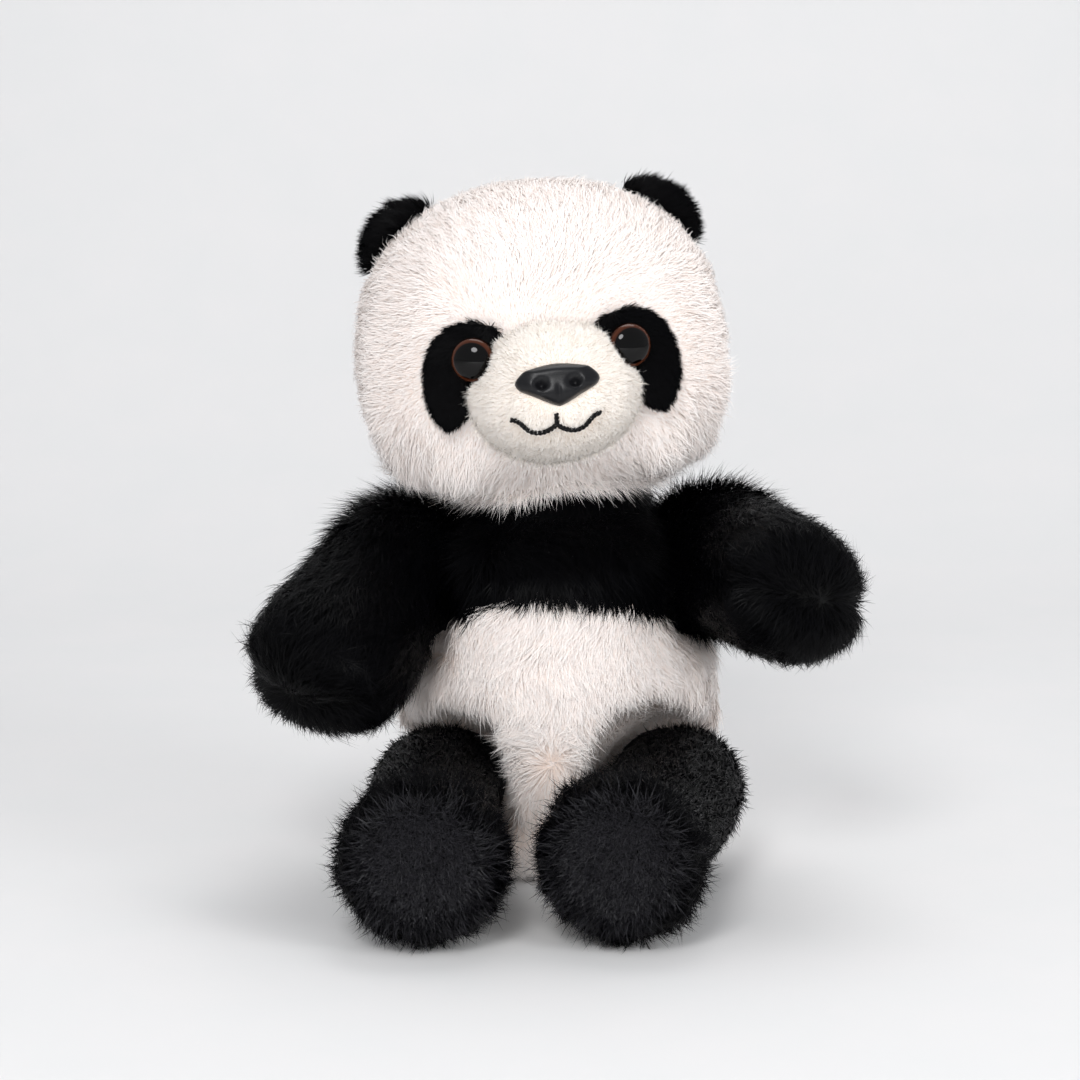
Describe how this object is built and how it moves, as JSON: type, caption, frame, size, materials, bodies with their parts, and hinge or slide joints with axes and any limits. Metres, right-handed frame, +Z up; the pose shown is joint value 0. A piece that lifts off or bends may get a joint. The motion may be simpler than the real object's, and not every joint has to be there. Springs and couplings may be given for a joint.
{
  "type": "plush panda",
  "caption": "Seated plush panda with fur panels over stuffing, plastic eyes and nose, and sewn joints at the neck, shoulders and hips.",
  "frame": {"origin": "middle of the flat seat, where the torso rests on the ground", "axes": "+Z up; the panda looks along -Y, so its own left side is at +X"},
  "size_m": [0.243, 0.2141, 0.2808],
  "materials": {
    "white_fur": "long silky pile",
    "black_fur": "medium pile",
    "cream_plush": "short dense pile",
    "black_plush": "short dense pile",
    "eye_plastic": "polished dome",
    "nose_plastic": "satin",
    "washer_plastic": "moulded",
    "black_thread": "twisted embroidery thread",
    "white_thread": "polyester thread",
    "fibrefill": "loose polyester fibre",
    "pellet_cloth": "plain woven bag of pellets"
  },
  "bodies": {
    "torso": {"chest_panel": "black_fur", "belly_panel": "white_fur", "back_upper_panel": "black_fur", "back_lower_panel": "white_fur", "torso_stuffing": "fibrefill", "pellet_bag": "pellet_cloth", "tail": "white_fur", "closing_stitches": "white_thread"},
    "neck": {"neck_seam_ring": "white_thread"},
    "head": {"head_face_panel": "white_fur", "head_back_panel": "white_fur", "head_stuffing": "fibrefill", "muzzle_cover": "cream_plush", "muzzle_stuffing": "fibrefill", "eye_patch_right": "black_plush", "eye_patch_left": "black_plush", "eye_right": "eye_plastic", "eye_left": "eye_plastic", "eye_washer_right": "washer_plastic", "eye_washer_left": "washer_plastic", "nose": "nose_plastic", "nose_washer": "washer_plastic", "mouth_stitches": "black_thread", "ear_front_right": "black_plush", "ear_front_left": "black_plush", "ear_back_right": "black_plush", "ear_back_left": "black_plush"},
    "shoulder_right": {"shoulder_seam_ring_right": "black_thread"},
    "arm_right": {"arm_outer_panel_right": "black_fur", "arm_palm_panel_right": "black_fur", "arm_stuffing_right": "fibrefill"},
    "hip_right": {"hip_seam_ring_right": "black_thread"},
    "leg_right": {"leg_top_panel_right": "black_fur", "leg_under_panel_right": "black_fur", "foot_sole_right": "black_plush", "leg_stuffing_right": "fibrefill"},
    "shoulder_left": {"shoulder_seam_ring_left": "black_thread"},
    "arm_left": {"arm_outer_panel_left": "black_fur", "arm_palm_panel_left": "black_fur", "arm_stuffing_left": "fibrefill"},
    "hip_left": {"hip_seam_ring_left": "black_thread"},
    "leg_left": {"leg_top_panel_left": "black_fur", "leg_under_panel_left": "black_fur", "foot_sole_left": "black_plush", "leg_stuffing_left": "fibrefill"}
  },
  "joints": [
    {"name": "head_turn", "type": "hinge", "parent": "torso", "child": "neck", "pos_m": [0, 0, 0.15], "axis": [0, 0, 1], "range_deg": [-30, 30]},
    {"name": "head_nod", "type": "hinge", "parent": "neck", "child": "head", "pos_m": [0, 0, 0.15], "axis": [1, 0, 0], "range_deg": [-12, 12]},
    {"name": "arm_swing_right", "type": "hinge", "parent": "torso", "child": "shoulder_right", "pos_m": [-0.06, 0, 0.125], "axis": [1, 0, 0], "range_deg": [-50, 6]},
    {"name": "arm_spread_right", "type": "hinge", "parent": "shoulder_right", "child": "arm_right", "pos_m": [-0.06, 0, 0.125], "axis": [0, 0, 1], "range_deg": [-60, 0]},
    {"name": "leg_swing_right", "type": "hinge", "parent": "torso", "child": "hip_right", "pos_m": [-0.049, -0.02, 0.034], "axis": [1, 0, 0], "range_deg": [-18, 0]},
    {"name": "leg_splay_right", "type": "hinge", "parent": "hip_right", "child": "leg_right", "pos_m": [-0.049, -0.02, 0.034], "axis": [0, 0, 1], "range_deg": [-35, 0]},
    {"name": "arm_swing_left", "type": "hinge", "parent": "torso", "child": "shoulder_left", "pos_m": [0.06, 0, 0.125], "axis": [1, 0, 0], "range_deg": [-24, 20]},
    {"name": "arm_spread_left", "type": "hinge", "parent": "shoulder_left", "child": "arm_left", "pos_m": [0.06, 0, 0.125], "axis": [0, 0, 1], "range_deg": [0, 60]},
    {"name": "leg_swing_left", "type": "hinge", "parent": "torso", "child": "hip_left", "pos_m": [0.049, -0.02, 0.034], "axis": [1, 0, 0], "range_deg": [-18, 0]},
    {"name": "leg_splay_left", "type": "hinge", "parent": "hip_left", "child": "leg_left", "pos_m": [0.049, -0.02, 0.034], "axis": [0, 0, 1], "range_deg": [0, 35]}
  ]
}
